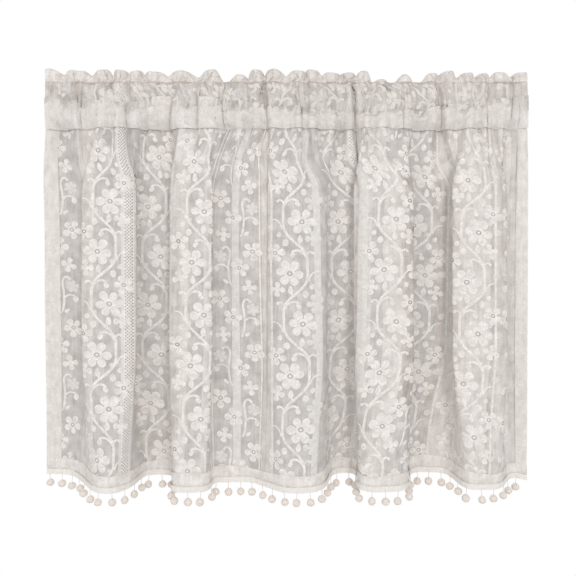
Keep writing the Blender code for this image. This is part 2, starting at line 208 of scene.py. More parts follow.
def foldAt(along, pleated):
    place = np.interp(along, hemAlong, hemPlaces)
    number = np.minimum(place.astype(int), len(foldTable) - 2)
    return foldCurve(number, place - number, pleated)


def makeTopLine():  # where each place of the cloth lies along the rod, evened out
    knots = hemAlong[::foldSteps]
    dense = np.linspace(0.0, flatWidth, 500)
    rough = np.interp(dense, knots, foldTable[:, 0])
    reach = 16
    before = 2 * rough[0] - rough[reach:0:-1]
    after = 2 * rough[-1] - rough[-2 : -reach - 2 : -1]
    even = np.ones(2 * reach + 1) / (2 * reach + 1)
    smooth = np.convolve(np.concatenate([before, rough, after]), even, mode="valid")
    share = (smooth - smooth[0]) / (smooth[-1] - smooth[0])
    return dense, (share - 0.5) * curtain["rodWidth"]


topAlong, topAcross = makeTopLine()


def easeBetween(value, low, high):
    share = np.clip((value - low) / (high - low), 0.0, 1.0)
    return share * share * (3 - 2 * share)


def gatherPhase(across):
    crests = gatherTable[:, 0]
    spacing = curtain["rodWidth"] / len(gatherTable)
    places = [crests[0] - spacing, *crests, crests[-1] + spacing]
    return np.interp(across, places, np.arange(-1, len(gatherTable) + 1))


def gatherWave(across):  # 1 on a crest, -1 in a hollow
    return np.cos(2 * np.pi * gatherPhase(across))


# Fine uneven puckers, the sum of a few waves whose lengths (mm) never fall into step.
puckerWaves = [
    # length, height, start
    (6.7, 0.30, 0.4),
    (9.1, 0.42, 2.1),
    (12.3, 0.40, 4.4),
    (17.9, 0.36, 1.2),
    (26.3, 0.30, 5.3),
]


def pucker(across, shift=0.0):
    total = np.zeros_like(across)
    for length, height, start in puckerWaves:
        total = total + height * np.sin(2 * np.pi * across / length + start + shift)
    return total


def creasePush(along, down):
    push = np.zeros_like(along)
    for place, depth, half, start, end in creaseTable:
        shape = np.exp(-(((along - place) / half) ** 2))
        fade = np.clip((down - start) / 0.08, 0.0, 1.0) * np.clip((end - down) / 0.35, 0.0, 1.0)
        push = push + depth * shape * fade
    return push


def sharpCreases(across, share):
    # share: 0 at the stitches and 1 at the pocket's seam. Each crease is a trough with soft lips.
    push = np.zeros_like(across)
    for top, foot, depth, half, start, end in headingCreases:
        fade = np.clip((share - start) / 0.15, 0.0, 1.0) * np.clip((end - share) / 0.25, 0.0, 1.0)
        off = (across - top - (foot - top) * np.clip(share, -0.2, 1.0)) / half
        lips = 0.5 * np.exp(-(((np.abs(off) - 2.2) / 1.1) ** 2))
        push = push + depth * fade * (lips - np.exp(-(off**2)))
    return push


def foldShare(down):
    upper = (gathers["midShare"] - gathers["topShare"]) * easeBetween(down, -0.1, 0.45)
    lower = (1.0 - gathers["midShare"]) * easeBetween(down, 0.4, 1.0)
    return gathers["topShare"] + upper + lower


panelFinish = {
    "seamPucker": 1.1,  # height of the fine puckers under the pocket, mm
    "seamPuckerReach": 26.0,  # length over which they fade
    "hemPucker": 0.35,  # along the hem, where the fringe tape draws the cloth in
    "hemPuckerReach": 16.0,
    "ripple": 0.7,  # slow unevenness all over
}


def panelPoints(along, level):
    drop = curtain["panelTop"] - curtain["hemLevel"]
    down = np.clip((curtain["panelTop"] - level) / drop, 0.0, 1.0)
    pleated = easeBetween(down, -0.02, 0.18) * (1.0 - easeBetween(down, 0.6, 1.0))
    foldAcross, foldFront, rise = foldAt(along, pleated)
    rodAcross = np.interp(along, topAlong, topAcross)
    across = rodAcross + (foldAcross - rodAcross) * easeBetween(down, -0.06, 0.16)
    left = np.exp(-((down * drop / gathers["dieOut"]) ** 1.3))
    front = foldShare(down) * foldFront + gathers["atSeam"] * gatherWave(rodAcross) * left
    front = front + creasePush(along, down)
    fromSeam = (curtain["panelTop"] - level) / panelFinish["seamPuckerReach"]
    fromHem = (level - curtain["hemLevel"]) / panelFinish["hemPuckerReach"]
    front = front + panelFinish["seamPucker"] * pucker(rodAcross) * np.exp(-fromSeam)
    front = front + sharpCreases(rodAcross, 1.0 + 0.25 * down / 0.12)
    front = front + panelFinish["hemPucker"] * pucker(along, 1.7) * np.exp(-fromHem)
    ripple = np.sin(along / 9.7 + level / 61.0) * np.sin(level / 83.0 + along / 37.0)
    front = front + panelFinish["ripple"] * ripple
    return np.stack([across, front, level + rise * down**3], axis=-1)


# The cloth keeps its width along each level, so a place on the flat cloth is found by the length
# run from the left edge. Rows: levels down the cloth. Columns: even steps of the flat width.
tableColumns = 2021
flatColumns = np.linspace(0.0, flatWidth, tableColumns)


def evenAlong(rows):
    table = np.empty_like(rows[:, :tableColumns])
    for number, row in enumerate(rows):
        run = np.concatenate([[0.0], np.cumsum(np.hypot(np.diff(row[:, 0]), np.diff(row[:, 1])))])
        run = run / run[-1] * flatWidth
        for axis in range(3):
            table[number, :, axis] = np.interp(flatColumns, run, row[:, axis])
    return table


def makePanelTable():
    levels = np.linspace(curtain["hemLevel"], curtain["panelTop"], 150)
    along = np.linspace(0.0, flatWidth, tableColumns)
    rows = panelPoints(*np.broadcast_arrays(along[None, :], levels[:, None]))
    return levels, evenAlong(rows)


panelLevels, panelTable = makePanelTable()


def lookUp(levels, table, along, level):
    row = np.interp(level, levels, np.arange(len(levels)))
    column = np.clip(along / flatWidth * (tableColumns - 1), 0, tableColumns - 1)
    row0 = np.minimum(row.astype(int), len(levels) - 2)
    column0 = np.minimum(column.astype(int), tableColumns - 2)
    a = (row - row0)[:, None]
    b = (column - column0)[:, None]
    upper = table[row0, column0] * (1 - b) + table[row0, column0 + 1] * b
    lower = table[row0 + 1, column0] * (1 - b) + table[row0 + 1, column0 + 1] * b
    return upper * (1 - a) + lower * a


def clothPlace(levels, table, along, level, lift=0.0):
    # lift: distance off the cloth towards the room, mm
    along = np.asarray(along, float)
    level = np.asarray(level, float)
    place = lookUp(levels, table, along, level)
    if np.any(lift):
        step = 1.0
        right, left = (lookUp(levels, table, along + s, level) for s in (step, -step))
        upper, lower = (lookUp(levels, table, along, level + s) for s in (step, -step))
        normal = np.cross(upper - lower, right - left)
        normal = -normal / np.maximum(np.linalg.norm(normal, axis=1, keepdims=True), 1e-9)
        place = place + normal * np.reshape(lift, (-1, 1))
    return np.stack([place[:, 0], -place[:, 1], place[:, 2]], axis=1)


def panelPlace(along, level, lift=0.0):
    return clothPlace(panelLevels, panelTable, along, level, lift)


# The heading is one strip: up the front of the pocket, up the ruffle, over its edge and down the back.
# Its own level runs from the seam (-87) to the ruffle's edge (0) and on to the seam again (87).
heading = {
    "wallStandOff": 8.4,  # pocket wall from the line of the rod, mm
    "wallGather": 3.4,
    "endReach": 26.0,  # the pocket flattens over this length towards its open ends
    "endShare": 0.45,
    "layerGap": 0.9,  # half the space between the layers of the ruffle
    "rufflePuff": 1.3,  # the ruffle's layers stand this much further apart above the stitches
    "stitchPucker": 1.25,
    "puckerReach": 17.0,
    "ruffleCurl": 1.6,
    "ruffleFold": 2.8,  # how far the ruffle's crests spread over the hollows between them
    "seamWave": 0.6,
    "allowance": 36.0,  # mean height of the cloth turned up inside the pocket from its seam
}
pocketRows = [(-87.3, 1.0), (-73.0, 0.30), (-53.0, 0.14), (-33.0, 0.12), (-18.4, 0.0)]


def ruffleEdge(across):
    phase = gatherPhase(across)
    number = np.clip(np.floor(phase).astype(int), 0, len(gatherTable) - 1)
    following = np.minimum(number + 1, len(gatherTable) - 1)
    part = np.clip(phase - number, 0.0, 1.0)
    tip = gatherTable[number, 1]
    dip = gatherTable[number, 2]
    ahead = gatherTable[following, 1]
    # Deep hollows have a flat floor, so the crests beside them are narrow.
    flat = np.where(dip < -12.0, 0.17, 0.0)
    firstHalf = tip + (dip - tip) * easeBetween(part, 0.12 - 0.5 * flat, 0.5 - flat)
    secondHalf = dip + (ahead - dip) * easeBetween(part, 0.5 + flat, 0.9 + 0.4 * flat)
    lean0 = gatherTable[number, 3]
    lean = lean0 + (gatherTable[following, 3] - lean0) * easeBetween(part, 0.5, 1.0)
    wobble = 0.5 * np.sin(across / 4.3 + 1.0) - 0.35 * np.sin(across / 2.6)
    return np.where(part < 0.5, firstHalf, secondHalf) - 0.6 + wobble, lean


def headingRow(along, v):
    # v: the strip's own level, one number. Returns across, front and level for every place along.
    across = np.interp(along, topAlong, topAcross)
    wave = gatherWave(across)
    folds = gathers["topShare"] * foldAt(along, 0.0)[1] + gathers["atSeam"] * wave
    face = 1.0 if v <= 0 else -1.0
    level = -abs(v)
    fine = pucker(across)
    fromStitch = abs(level - curtain["stitchLevel"]) / heading["puckerReach"]
    fromSeam = abs(level - curtain["seamLevel"]) / heading["puckerReach"]
    if level <= curtain["stitchLevel"]:
        knots = [row[0] for row in pocketRows]
        share = np.interp(level, knots, [row[1] for row in pocketRows])
        nearStitch = easeBetween(level, -33.0, curtain["stitchLevel"])
        middle = share * folds + nearStitch * gathers["atStitch"] * wave
        pocket = curtain["stitchLevel"] - curtain["seamLevel"]
        rise = np.clip((level - curtain["seamLevel"]) / pocket, 0, 1)
        stand = math.sin(math.pi * rise) ** 0.6
        ends = easeBetween(curtain["rodWidth"] / 2 - np.abs(across), 0.0, heading["endReach"])
        wall = heading["wallStandOff"] + heading["wallGather"] * (0.5 + 0.5 * face * wave)
        wall = wall * (heading["endShare"] + (1 - heading["endShare"]) * ends)
        gap = heading["layerGap"] + stand * (wall - heading["layerGap"])
        front = middle + face * gap
        front = front + heading["stitchPucker"] * fine * math.exp(-fromStitch)
        front = front + sharpCreases(across, 1.0 - rise) * min(1.0, gap.max())
        front = front + panelFinish["seamPucker"] * fine * math.exp(-fromSeam)
        height = np.full_like(across, level)
        nearSeam = 1 - easeBetween(level, curtain["panelTop"], -60.0)
        height = height - heading["seamWave"] * np.sin(across / 31.0 + 0.6) * nearSeam
    else:
        up = (level - curtain["stitchLevel"]) / -curtain["stitchLevel"]
        edge, lean = ruffleEdge(across)
        middle = (gathers["atStitch"] + (gathers["atTip"] - gathers["atStitch"]) * up) * wave
        middle = middle - lean * up**1.6
        middle = middle + heading["stitchPucker"] * fine * (math.exp(-fromStitch) + 0.5 * up)
        middle = middle + heading["ruffleCurl"] * up * np.sin(across / 4.4 + 1.6 * np.sin(across / 23.0))
        middle = middle + sharpCreases(across, -0.6 * up)
        inner = easeBetween(curtain["rodWidth"] / 2 - np.abs(across), 0.0, 16.0)
        across = across + heading["ruffleFold"] * inner * up * np.sin(2 * np.pi * gatherPhase(across))
        puff = heading["rufflePuff"] * math.sin(math.pi * min(up * 1.15, 1.0)) ** 0.7
        gap = heading["layerGap"] * math.sqrt(max(1.0 - up**4, 0.0)) + puff
        front = middle + face * gap
        height = curtain["stitchLevel"] + (edge - curtain["stitchLevel"]) * up
    return np.stack([across, front, height], axis=-1)


def makeHeadingTable():
    reach = -curtain["panelTop"]
    levels = np.concatenate([
        np.linspace(-reach, -24.0, 40),
        np.linspace(-23.0, 0.0, 32),
        np.linspace(0.6, 23.0, 32),
        np.linspace(24.0, reach, 40),
    ])
    along = np.linspace(0.0, flatWidth, tableColumns)
    return levels, evenAlong(np.stack([headingRow(along, v) for v in levels]))


headingLevels, headingTable = makeHeadingTable()


def headingPlace(along, level, lift=0.0):
    return clothPlace(headingLevels, headingTable, along, level, lift)


# The lace's design, drawn on the flat cloth.
# Each vine winds down the cloth past a large flower every 74 mm, on its left and right by turns, and
# carries buds, leaves, hooked tendrils and twigs. Smaller flowers stand beside it. Stripes, a band of
# lattice and columns of sprigs fill the cloth between the vines.
design = {
    "rowSpacing": 74.0,  # from one large flower to the next down a vine, mm
    "vineSwing": 19.4,  # how far a vine winds to each side
    "vineWidth": 3.6,
    "flowerOffset": 8.6,  # from the vine's middle line to a large flower
    "hookFullness": 1.15,  # makes every hook, twig and stem thicker
    "largeFlower": 20.0,  # radius
    "mediumFlower": 14.2,
    "smallFlower": 11.4,
    "petalWidth": 0.62,  # part of the flower's radius
    "eyeRing": 3.9,  # radius of the open ring round a flower's eye
    "eye": 2.0,
    "latticePitch": 4.7,
    "latticeHole": 1.45,
    "firstRow": -3,  # rows of large flowers, counted down from the first one under the pocket
    "lastRow": 8,
}

columnTable = [
    # along, kind, then the width of a ground, stripe, line or lattice, or the side of the first flower
    # closer grounds
    (83.0, "veil", 46.0),
    (302.0, "veil", 28.0),
    (342.0, "veil", 11.0),
    (456.0, "veil", 20.0),
    (642.0, "veil", 44.0),
    (696.0, "veil", 30.0),
    (912.0, "veil", 194.0),
    # narrow shaded grounds
    (925.0, "shade", 5.0),
    (959.0, "shade", 8.0),
    (441.0, "shade", 4.5),
    (645.0, "shade", 5.0),
    (714.0, "shade", 6.0),
    (198.0, "shade", 4.5),
    (811.0, "shade", 13.0),
    # motifs, from left to right
    (34.0, "sprig", 1),
    (120.0, "vine", -1),
    (154.5, "lattice", 12.4),
    (222.0, "vine", 1),
    (262.0, "sprig", -1),
    (286.0, "stripe", 9.0),
    (329.0, "vine", -1),
    (367.0, "line", 2.2),
    (373.0, "line", 1.6),
    (390.0, "sprig", -1),
    (408.0, "stripe", 11.0),
    (428.0, "sprig", 1),
    (443.0, "line", 2.0),
    (466.0, "line", 3.4),
    (500.0, "ghostRight", -1),
    (531.0, "stripe", 9.6),
    (586.0, "ghostLeft", 1),
    (630.0, "lattice", 13.0),
    (652.0, "stripe", 13.0),
    (690.0, "vine", -1),
    (740.0, "sprig", 1),
    (779.0, "vine", 1),
    (820.0, "line", 2.6),
    (842.0, "sprig", -1),
    (860.0, "line", 3.0),
    (898.0, "vine", -1),
    (930.0, "line", 2.6),
    (954.0, "sprig", -1),
    (976.0, "stripe", 8.0),
]

# The cloth was cut a little off the grain, so the rows of the design slope and wave: flat place, and
# level of one row of large flowers there.
rowLevels = np.array([
    # along, level
    (0.0, -112.0),
    (120.0, -119.5),
    (222.0, -127.5),
    (329.0, -135.5),
    (428.0, -146.6),
    (500.0, -150.5),
    (586.0, -150.0),
    (690.0, -144.5),
    (779.0, -155.5),
    (898.0, -163.5),
    (954.0, -173.0),
    (1010.0, -178.0),
])


def rowSlope(along):
    return np.interp(along, rowLevels[:, 0], rowLevels[:, 1])


drawn = []  # (kind, points on the flat cloth), lowest layer first
hand = np.random.default_rng(11)


def draw(kind, points):
    points = np.asarray(points, float)
    after = np.roll(points, -1, axis=0)
    area = np.sum(points[:, 0] * after[:, 1] - points[:, 1] * after[:, 0])
    drawn.append((kind, points if area > 0 else points[::-1]))


def turned(points, angle):
    c, s = math.cos(angle), math.sin(angle)
    return points @ np.array([[c, s], [-s, c]])


def oval(kind, centre, length, width, angle=0.0, taper=0.0, sides=12):
    # angle: the way its narrow end points, if it tapers
    turn = np.arange(sides) / sides * 2 * np.pi
    along = length / 2 * np.cos(turn)
    side = width / 2 * np.sin(turn) * (1 - taper * np.cos(turn))
    draw(kind, turned(np.stack([along, side], 1), angle) + np.array(centre))


def flower(kind, centre, radius, petals, turn, ring=True):
    centre = np.array(centre)
    for number in range(petals):
        angle = turn + 2 * math.pi * number / petals + hand.uniform(-0.09, 0.09)
        reach = radius * hand.uniform(0.92, 1.05)
        width = design["petalWidth"] * reach * (6 / petals) ** 0.45 * hand.uniform(0.92, 1.06)
        middle = centre + reach * 0.64 * np.array([math.cos(angle), math.sin(angle)])
        oval(kind, middle, reach * 0.72, width, angle + math.pi, 0.14, 14)
    oval(kind, centre, radius * 0.78, radius * 0.78)
    if ring:
        size = min(1.0, radius / 17.0)
        oval("open", centre, 2 * design["eyeRing"] * size, 1.8 * design["eyeRing"] * size)
        oval("solid", centre, 2 * design["eye"] * size, 1.8 * design["eye"] * size)


def ribbon(kind, path, width, tip=None):
    # path: points along the middle. width: at its start. tip: at its end.
    path = np.asarray(path, float)
    ahead = np.gradient(path, axis=0)
    ahead = ahead / np.linalg.norm(ahead, axis=1, keepdims=True)
    side = np.stack([-ahead[:, 1], ahead[:, 0]], 1)
    half = np.linspace(width, width if tip is None else tip, len(path))[:, None] / 2
    draw(kind, np.concatenate([path + side * half, (path - side * half)[::-1]]))


def smoothPath(knots, steps=10):
    return bezier(np.linspace(0, 1, steps)[:, None], *np.asarray(knots, float))


def stroke(kind, origin, s, knots, width, tip):
    # knots are given for a flower on the right and mirrored by s
    points = [(origin[0] + s * x, origin[1] + y) for x, y in knots]
    fuller = design["hookFullness"]
    ribbon(kind, smoothPath(points), width * fuller, tip * fuller)


def shadowLeaves(across, side):  # half-tone leaves that lie under a vine
    for number in range(design["firstRow"], design["lastRow"]):
        s = side * (-1) ** number
        level = -number * design["rowSpacing"]
        oval("half", (across + s * 35.0, level + 3.0), 13.0, 10.0, 0.4 * s, 0.2)
        oval("half", (across - s * 34.0, level + 13.0), 11.0, 8.6, -0.5 * s, 0.2)
        oval("half", (across + s * 24.0, level + 14.5), 8.0, 6.4, 0.8, 0.1)
        oval("half", (across - s * 12.0, level - 14.0), 9.0, 6.0, 1.2 * s, 0.3)


def vine(across, side, ghost=0):
    # ghost: side on which the smaller flowers are half-tone
    spacing = design["rowSpacing"]
    levels = np.arange(-design["firstRow"] * spacing, -design["lastRow"] * spacing, -3.6)
    phase = (-levels / spacing + 0.10) * math.pi
    offset = -side * design["vineSwing"] * (np.cos(phase) - 0.13 * np.cos(3 * phase))
    ribbon("solid", np.stack([across + offset, levels], 1), design["vineWidth"])
    for number in range(design["firstRow"], design["lastRow"]):
        s = side * (-1) ** number
        level = -number * spacing
        wobble = hand.uniform(-1.0, 1.0, 8)
        place = (across, level)
        beside = "half" if s == ghost else "solid"
        small = (across + s * 25.0 + wobble[3], level - 24.6 + wobble[4])
        flower(beside, small, design["smallFlower"], 4, 0.1 + wobble[5] * 0.35, ring=False)
        medium = (across + s * 28.0 + wobble[6], level + 28.5 + wobble[7])
        flower(beside, medium, design["mediumFlower"], 5, 0.6 + wobble[5], ring=beside == "solid")
        large = (across + s * design["flowerOffset"] + wobble[0], level + wobble[1])
        flower("solid", large, design["largeFlower"], 6, wobble[2] * 0.16)
        # the large flower's bud and stem
        oval("solid", (across + s * 7.0, level - 24.4), 12.5, 7.2, math.pi / 2, 0.35)
        stroke("solid", place, s, [(6.6, -28), (6.0, -31), (3.5, -33), (1.0, -34)], 2.2, 1.6)
        # leaves on the other side
        oval("solid", (across - s * 22.5, level - 19.5), 8.0, 6.6, math.radians(60), 0.2)
        oval("solid", (across - s * 13.4, level - 30.6), 10.4, 8.8, math.radians(90))
        # hooked tendril and the leaf inside its hook
        stroke("solid", place, s, [(-15.0, 22.5), (-12.5, 30.5), (-2.0, 37.5), (4.6, 29.5)], 2.2, 3.2)
        oval("solid", (across + s * 3.6, level + 26.0), 8.8, 6.6, math.radians(90 + s * 38), 0.1)
        # short tendril with its berry, and a twig
        stroke("solid", place, s, [(-15.5, 21.5), (-16.0, 30.0), (-20.0, 32.5), (-24.5, 30.0)], 2.2, 2.6)
        oval("solid", (across - s * 24.6, level + 29.2), 4.6, 4.4)
        stroke("solid", place, s, [(-18.5, -11.0), (-20.0, -2.0), (-25.0, 3.5), (-33.0, 2.0)], 2.0, 1.5)


def sprig(across, side):
    # Every second row: two small flowers, a hooked stem with a drop and a leaf, then two ringed
    # flowers. Its mirrored form starts half-way down.
    spacing = design["rowSpacing"]
    shift = 0.0 if side > 0 else -spacing
    ringed = design["mediumFlower"]
    for number in range(design["firstRow"], design["lastRow"], 2):
        level = -number * spacing + shift + spacing
        wobble = hand.uniform(-1.0, 1.0, 6)

        def at(x, y):
            return (across + side * x, level + y)

        def stem(knots, width, tip):
            stroke("solid", (across, level), side, knots, width, tip)

        flower("half", at(4.5, -58.0), 9.6, 6, wobble[4], ring=False)
        flower("solid", at(0.0, -26.0), 11.4, 4, wobble[0] * 0.3, ring=False)
        stem([(-9.5, -56.0), (-7.0, -68.0), (-6.5, -80.0), (-9.0, -93.0)], 2.6, 2.6)
        stem([(-9.5, -57.0), (-11.0, -44.0), (-3.0, -40.0), (1.5, -48.0)], 2.4, 3.0)
        stem([(-7.0, -76.0), (-3.0, -70.0), (3.0, -69.0), (9.0, -73.0)], 2.2, 2.4)
        oval("solid", at(9.4, -77.0), 9.4, 8.2, math.radians(90))
        oval("solid", at(-3.4, -95.0), 9.0, 5.0, math.radians(90 - side * 50), 0.2)
        stem([(-9.0, -92.0), (-9.5, -96.0), (-11.0, -99.0), (-12.5, -100.0)], 2.4, 1.6)
        flower("solid", at(5.0, -121.0 + wobble[1]), ringed * 1.03, 5, 0.9 + wobble[2] * 0.3)
        flower("solid", at(-14.0, -147.0 + wobble[3]), ringed * 0.97, 5, 0.3 + wobble[5] * 0.4)


def lattice(across, size, levels):
    middle = np.full_like(levels, across)
    ribbon("half", np.stack([middle, levels], 1), size + 9.0)
    ribbon("solid", np.stack([middle, levels], 1), size + 2.0)
    pitch = design["latticePitch"]
    turn = np.arange(4) / 4 * 2 * np.pi
    hole = np.stack([np.cos(turn), np.sin(turn)], 1) * design["latticeHole"]
    count = int(size / pitch) + 1
    for row in range(int((levels[0] - levels[-1]) / pitch * 2)):
        inRow = count - row % 2
        for column in range(inRow):
            place = across + (column - (inRow - 1) / 2) * pitch
            draw("open", hole + (place, levels[0] - row * pitch / 2))


# The cloth turned up inside the pocket.
turnedIn = {
    "rows": 46.0,  # height of the strip before its raw edge is cut uneven, mm
    "start": 0.8,  # its foot over the pocket's seam
    "behind": -1.9,  # its distance behind the pocket's front
}

# Height of its raw edge: place along the rod, height.
allowanceHeights = np.array([
    # across, height
    (-354.0, 44.0),
    (-292.0, 47.0),
    (-262.0, 36.0),
    (-205.0, 44.0),
    (-75.0, 42.0),
    (-10.0, 30.0),
    (60.0, 25.0),
    (200.0, 24.0),
    (250.0, 38.0),
    (354.0, 45.0),
])


def allowanceTop(along):  # height of the raw edge over the pocket's seam
    rodAcross = np.interp(along, flatColumns, headingTable[0, :, 0])
    height = np.interp(rodAcross, allowanceHeights[:, 0], allowanceHeights[:, 1])
    return height + 1.6 * np.sin(rodAcross / 11.0) + 2.2 * np.sin(rodAcross / 27.0 + 1.0)


def footTop(along):  # height of the foot hem, turned up by eye, so its upper edge rises and dips
    uneven = 1.0 + 0.10 * np.sin(along / 41.0) + 0.05 * np.sin(along / 13.0 + 2.0)
    return curtain["bottomHem"] * uneven


def drawBand(kind, along, low, high):
    # A band of cloth between two levels, kept level while the design's rows slope.
    slope = rowSlope(along)
    lower = np.stack([along, low - slope], 1)
    upper = np.stack([along, high - slope], 1)
    draw(kind, np.concatenate([lower, upper[::-1]]))


def drawHems():
    # Where other cloth lies behind it the net looks dense and pale. The motifs are drawn on top.
    along = np.arange(-2.0, flatWidth + 2.0, 4.0)
    foot = curtain["hemLevel"]
    drawBand("lined", along, foot - 3.0, foot + footTop(along))
    for start, end in ((-2.0, curtain["leftHem"]), (flatWidth - curtain["rightHem"], flatWidth + 2.0)):
        drawBand("hemmed", np.linspace(start, end, 6), foot - 3.0, curtain["seamLevel"])
    seamFace = -curtain["panelTop"]
    raised = turnedIn["start"] + allowanceTop(along)
    drawBand("lined", along, 0.1 - seamFace, raised - seamFace)
    drawBand("lined", along, seamFace - raised, seamFace - 0.1)


def drawDesign():
    spacing = design["rowSpacing"]
    levels = np.arange(-design["firstRow"] * spacing, -design["lastRow"] * spacing, -12.0)
    for across, kind, size in columnTable:
        if kind in ("veil", "shade"):
            ribbon(kind, np.stack([np.full_like(levels, across), levels], 1), size)
    for across, kind, side in columnTable:
        if kind == "vine":
            shadowLeaves(across, side)
    for across, kind, size in columnTable:
        middle = np.stack([np.full_like(levels, across), levels], 1)
        if kind == "lattice":
            lattice(across, size, levels)
        if kind == "stripe":
            ribbon("half", middle, size)
        if kind == "line":
            ribbon("solid", middle, size)
    drawHems()
    ghosts = {"vine": 0, "ghostRight": 1, "ghostLeft": -1}
    for across, kind, side in columnTable:
        if kind == "sprig":
            sprig(across, side)
        if kind in ghosts:
            vine(across, side, ghosts[kind])


drawDesign()


# Creases of the ruffle: place along the rod at its edge and at the stitches.
ruffleCreases = [
    # top, foot
    (-322.0, -330.0),
    (-284.0, -291.0),
    (-262.0, -254.0),
    (-228.0, -231.0),
    (-209.0, -198.0),
    (-178.0, -162.0),
    (-152.0, -141.0),
    (-120.0, -126.0),
    (-96.0, -93.0),
    (-58.0, -48.0),
    (-32.0, -38.0),
    (-8.0, 3.0),
    (29.0, 23.0),
    (53.0, 47.0),
    (80.0, 88.0),
    (104.0, 98.0),
    (127.0, 139.0),
    (158.0, 147.0),
    (196.0, 208.0),
    (226.0, 219.0),
    (253.0, 262.0),
    (279.0, 283.0),
    (303.0, 296.0),
    (331.0, 338.0),
]


def drawCreases():
    # Where the cloth is pinched sharp it lies in its own shade, drawn as fine tapering lines.
    height = curtain["stitchLevel"] - curtain["seamLevel"]
    lines = []
    for top, foot, depth, half, start, end in headingCreases:
        share = np.linspace(max(start, -0.2), min(end, 0.97), 14)
        across = top + (foot - top) * share + 0.5 * np.sin(share * 9.0 + top)
        lines.append((across, curtain["stitchLevel"] - share * height, 0.5 * depth))
    for top, foot in ruffleCreases:
        share = np.linspace(0.0, 1.0, 10)
        across = top + (foot - top) * share**1.5
        lines.append((across, -2.0 + (curtain["stitchLevel"] + 2.0) * share, 1.5))
    for across, level, width in lines:
        along = np.interp(across, topAcross, topAlong)
        ribbon("pinch", np.stack([along, level - rowSlope(along)], 1), width, 0.5)


drawCreases()
print("design drawn:", len(drawn), "shapes")


def toLinear(code):
    values = [int(code[i : i + 2], 16) / 255 for i in (1, 3, 5)]
    return [v / 12.92 if v <= 0.04045 else ((v + 0.055) / 1.055) ** 2.4 for v in values] + [1.0]


def addNode(tree, kind, settings=None, links=None):
    node = tree.nodes.new(kind)
    for name, value in (settings or {}).items():
        if isinstance(name, int) or name in node.inputs:
            node.inputs[name].default_value = value
        else:
            setattr(node, name, value)
    for name, source in (links or {}).items():
        tree.links.new(source, node.inputs[name])
    return node


def newMaterial(name):
    material = bpy.data.materials.new(name)
    material.use_nodes = True
    return material


def noise(tree, place, scale, detail, roughness):
    settings = {"Scale": scale, "Detail": detail, "Roughness": roughness}
    return addNode(tree, "ShaderNodeTexNoise", settings, {"Vector": place}).outputs["Fac"]


def blend(tree, share, first, second):
    settings = {"data_type": "FLOAT", "Factor": share}
    return addNode(tree, "ShaderNodeMix", settings, {"A": first, "B": second}).outputs["Result"]


def finishMaterial(material, look, tone, height):
    # tone picks a colour between the look's dark and light ones, height raises the bumps.
    tree = material.node_tree
    surface = tree.nodes["Principled BSDF"]
    ramp = addNode(tree, "ShaderNodeValToRGB", {}, {"Fac": tone})
    for stop, place, colour in zip(ramp.color_ramp.elements, look["stops"], ("dark", "light")):
        stop.position = place
        stop.color = toLinear(look[colour])
    settings = {"Strength": look["bumpStrength"], "Distance": look["bump"] * mm}
    bump = addNode(tree, "ShaderNodeBump", settings, {"Height": height})
    tree.links.new(ramp.outputs["Color"], surface.inputs["Base Color"])
    tree.links.new(bump.outputs["Normal"], surface.inputs["Normal"])
    surface.inputs["Roughness"].default_value = look["roughness"]
    surface.inputs["Sheen Weight"].default_value = look["sheen"]
    surface.inputs["Specular IOR Level"].default_value = look["shine"]
    surface.inputs["Alpha"].default_value = look["alpha"]


# stops: tones at which a surface reaches its dark and its light colour. bumpStrength, sheen and
# shine are parts of 1.
clothFinish = {"stops": (0.37, 0.63), "bumpStrength": 0.5, "sheen": 0.05, "shine": 0.25}
yarnFinish = {
    "stops": (0.34, 0.66),
    "bumpStrength": 0.6,
    "sheen": 0.15,
    "shine": 0.15,
    "roughness": 0.95,
    "alpha": 1.0,
}

# How the tone of each weave is broken up: the streak's width and length, the size of the grain and of
# the broad clouds in mm with their shares of the tone, the height of the bumps in mm, and roughness.
weaveParts = (
    "streakWidth", "streakLength", "grain", "grainShare", "cloud", "cloudShare", "bump", "roughness",
)
weaves = {
    "net": (3.4, 30.0, 2.6, 0.45, 17.0, 0.45, 0.5, 0.82),
    "solid": (3.4, 5.0, 2.4, 0.6, 9.0, 0.35, 0.5, 0.86),
    "doubled": (5.0, 22.0, 3.0, 0.5, 12.0, 0.4, 0.6, 0.86),
    "ruffle": (4.0, 22.0, 2.4, 0.5, 12.0, 0.4, 0.6, 0.86),
}

materials = {}


def makeCloth(slot, name, weave, dark, light, alpha):
    look = dict(clothFinish, dark=dark, light=light, alpha=alpha)
    look.update(zip(weaveParts, weaves[weave]))
    material = newMaterial(name)
    tree = material.node_tree
    flat = addNode(tree, "ShaderNodeUVMap", {"uv_map": "flatCloth"}).outputs["UV"]
    stretch = {"Scale": (1 / look["streakWidth"], 1 / look["streakLength"], 1.0)}
    stretched = addNode(tree, "ShaderNodeMapping", stretch, {"Vector": flat}).outputs["Vector"]
    streak = noise(tree, stretched, 1.0, 2.0, 0.5)
    grain = noise(tree, flat, 1 / look["grain"], 3.0, 0.6)
    cloud = noise(tree, flat, 1 / look["cloud"], 2.0, 0.5)
    fine = blend(tree, look["grainShare"], streak, grain)
    tone = blend(tree, look["cloudShare"], fine, cloud)
    finishMaterial(material, look, tone, fine)
    materials[slot] = material


def makeYarn(slot, name, dark, light, ends, bump):
    # Many fine ends, so the colour is broken up. ends: their size, mm. bump: height of the bumps, mm.
    look = dict(yarnFinish, dark=dark, light=light, bump=bump)
    material = newMaterial(name)
    tree = material.node_tree
    place = addNode(tree, "ShaderNodeTexCoord").outputs["Object"]
    tone = noise(tree, place, 1 / (ends * mm), 3.0, 0.65)
    finishMaterial(material, look, tone, tone)
    materials[slot] = material


